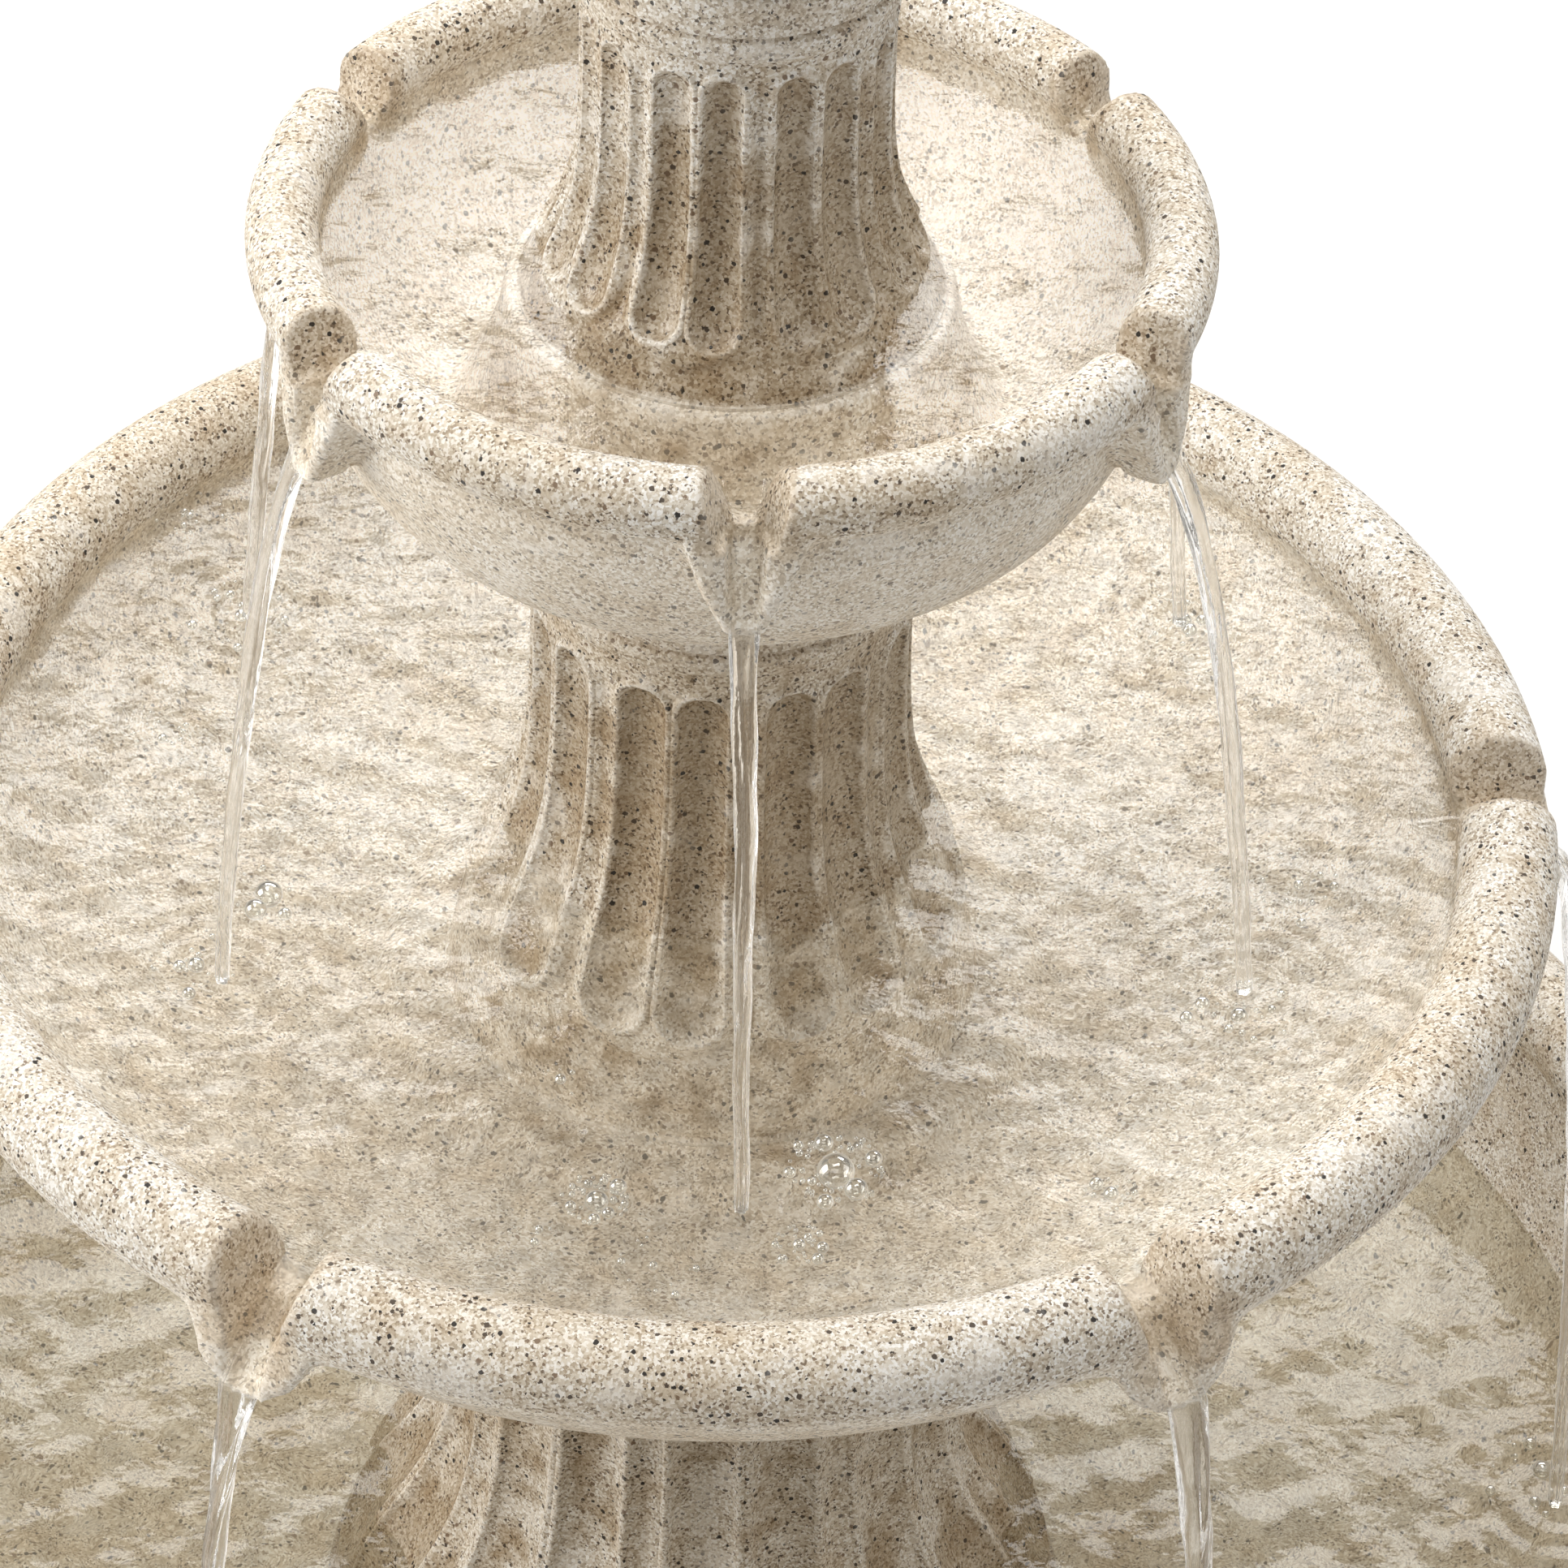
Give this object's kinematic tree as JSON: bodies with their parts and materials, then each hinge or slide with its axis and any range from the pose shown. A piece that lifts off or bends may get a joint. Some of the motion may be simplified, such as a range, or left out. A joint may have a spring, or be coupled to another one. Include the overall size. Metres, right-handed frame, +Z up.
{
  "type": "tiered water fountain",
  "caption": "Free-standing garden fountain in speckled cast stone: catch pool, fluted columns, stacked bowls with pouring lips, finial, and a submersible pump with riser hose.",
  "frame": {"origin": "on the ground under the middle of the catch pool", "axes": "+Z up along the columns' centre line; -Y is the front, the side the reference view looks from; the pump's hand hole is at +Y"},
  "size_m": [0.89, 0.89, 1.0141],
  "materials": {
    "stone": "matte cast stone, cream with dark, tan and white speckles",
    "black_rubber": "matte moulded rubber",
    "clear_vinyl": "clear flexible vinyl",
    "grey_plastic": "satin moulded plastic",
    "pump_plastic": "fine textured moulded plastic",
    "dial_plastic": "satin moulded plastic",
    "impeller_plastic": "satin moulded plastic",
    "ferrite": "ground ferrite",
    "white_ceramic": "polished technical ceramic",
    "steel": "stainless steel",
    "lamination_steel": "stacked laminations, varnished",
    "copper": "enamelled winding wire",
    "filter_foam": "open-cell foam",
    "water": "clear moving water, used by pieces of the visual model only"
  },
  "bodies": {
    "root": {"pool_basin": "stone", "drain_outlet": "grey_plastic", "drain_washer": "black_rubber", "drain_nut": "grey_plastic", "cord_grommet": "black_rubber", "pedestal_pads": "black_rubber", "pedestal": "stone", "large_bowl_gasket": "black_rubber", "riser_hose": "clear_vinyl", "outlet_adapter": "grey_plastic", "hose_clamp": "steel", "hose_clamp_screw": "steel", "pump_body": "pump_plastic", "stator_core": "lamination_steel", "stator_windings": "copper", "impeller_shaft": "white_ceramic", "rear_shaft_bush": "black_rubber", "front_shaft_bush": "black_rubber", "volute_casing": "pump_plastic", "casing_seal": "black_rubber", "casing_screws": "steel", "suction_cups": "black_rubber", "cord_gland": "black_rubber"},
    "large_tier": {"large_bowl": "stone", "large_bowl_grommet": "black_rubber", "middle_column_gasket": "black_rubber", "middle_column": "stone", "small_bowl_gasket": "black_rubber"},
    "small_tier": {"small_bowl": "stone", "small_bowl_grommet": "black_rubber", "top_column_gasket": "black_rubber", "top_column": "stone", "finial_gasket": "black_rubber"},
    "finial": {"finial": "stone", "outlet_tube": "grey_plastic"},
    "drain_plug": {"drain_plug": "black_rubber"},
    "rotor": {"impeller": "impeller_plastic", "rotor_magnet": "ferrite"},
    "intake_cover": {"intake_cover": "pump_plastic", "filter_foam": "filter_foam"},
    "flow_dial": {"flow_dial": "dial_plastic"}
  },
  "joints": [
    {"name": "large_tier_lift", "type": "slide", "parent": "root", "child": "large_tier", "axis": [0, 0, 1], "range_m": [0, 0.56]},
    {"name": "small_tier_lift", "type": "slide", "parent": "large_tier", "child": "small_tier", "axis": [0, 0, 1], "range_m": [0, 0.3]},
    {"name": "finial_lift", "type": "slide", "parent": "small_tier", "child": "finial", "axis": [0, 0, 1], "range_m": [0, 0.08]},
    {"name": "drain_plug_pull", "type": "slide", "parent": "root", "child": "drain_plug", "axis": [0, 0, 1], "range_m": [0, 0.05]},
    {"name": "impeller_spin", "type": "hinge", "parent": "root", "child": "rotor", "pos_m": [-0.014, 0.006, 0.088], "axis": [0, 1, 0], "continuous": true},
    {"name": "intake_cover_slide", "type": "slide", "parent": "root", "child": "intake_cover", "axis": [0, 1, 0], "range_m": [0, 0.05]},
    {"name": "flow_dial_turn", "type": "hinge", "parent": "intake_cover", "child": "flow_dial", "pos_m": [0.01, 0.044, 0.061], "axis": [0, 1, 0], "range_deg": [0, 90]}
  ]
}
